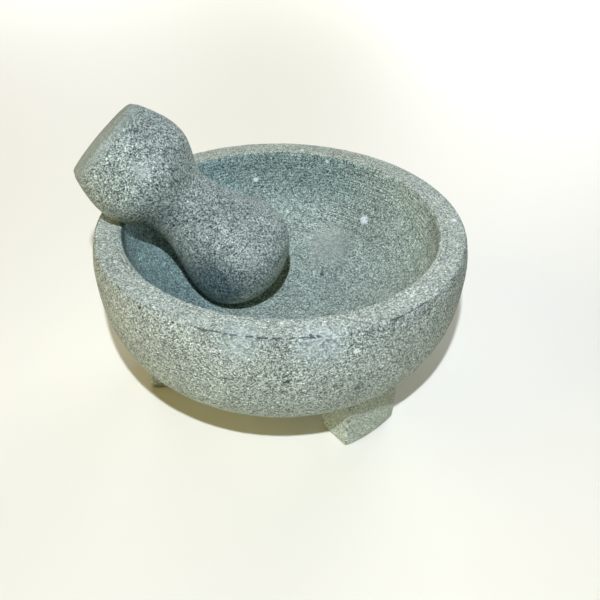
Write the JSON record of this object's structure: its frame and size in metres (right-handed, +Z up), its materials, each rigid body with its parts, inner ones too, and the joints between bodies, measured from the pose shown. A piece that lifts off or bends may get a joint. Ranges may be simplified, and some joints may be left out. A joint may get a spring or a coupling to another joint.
{
  "type": "stone mortar and pestle",
  "caption": "Molcajete: a round stone mortar with a deep hollow on short block feet, and its waisted tejolote (pestle) leaning in the bowl and over the rim.",
  "frame": {"origin": "on the surface the mortar stands on, under the middle of the whole object's box; the bowl's axis stands 2.8 mm towards +X of it, because the tejolote overhangs the rim on the -X side", "axes": "+Z up along the bowl's axis; the tejolote leans towards -X; -Y is the front"},
  "size_m": [0.2087, 0.2032, 0.1595],
  "materials": {
    "mortar_stone": "ground and turned grey granite, salt-and-pepper grain, matte",
    "tejolote_stone": "ground grey granite, salt-and-pepper grain, matte"
  },
  "bodies": {
    "mortar": {"mortar": "mortar_stone"},
    "tejolote": {"tejolote": "tejolote_stone"}
  },
  "joints": [
    {"name": "tejolote_lift", "type": "slide", "parent": "mortar", "child": "tejolote", "axis": [0, 0, 1], "range_m": [0, 0.12]}
  ]
}
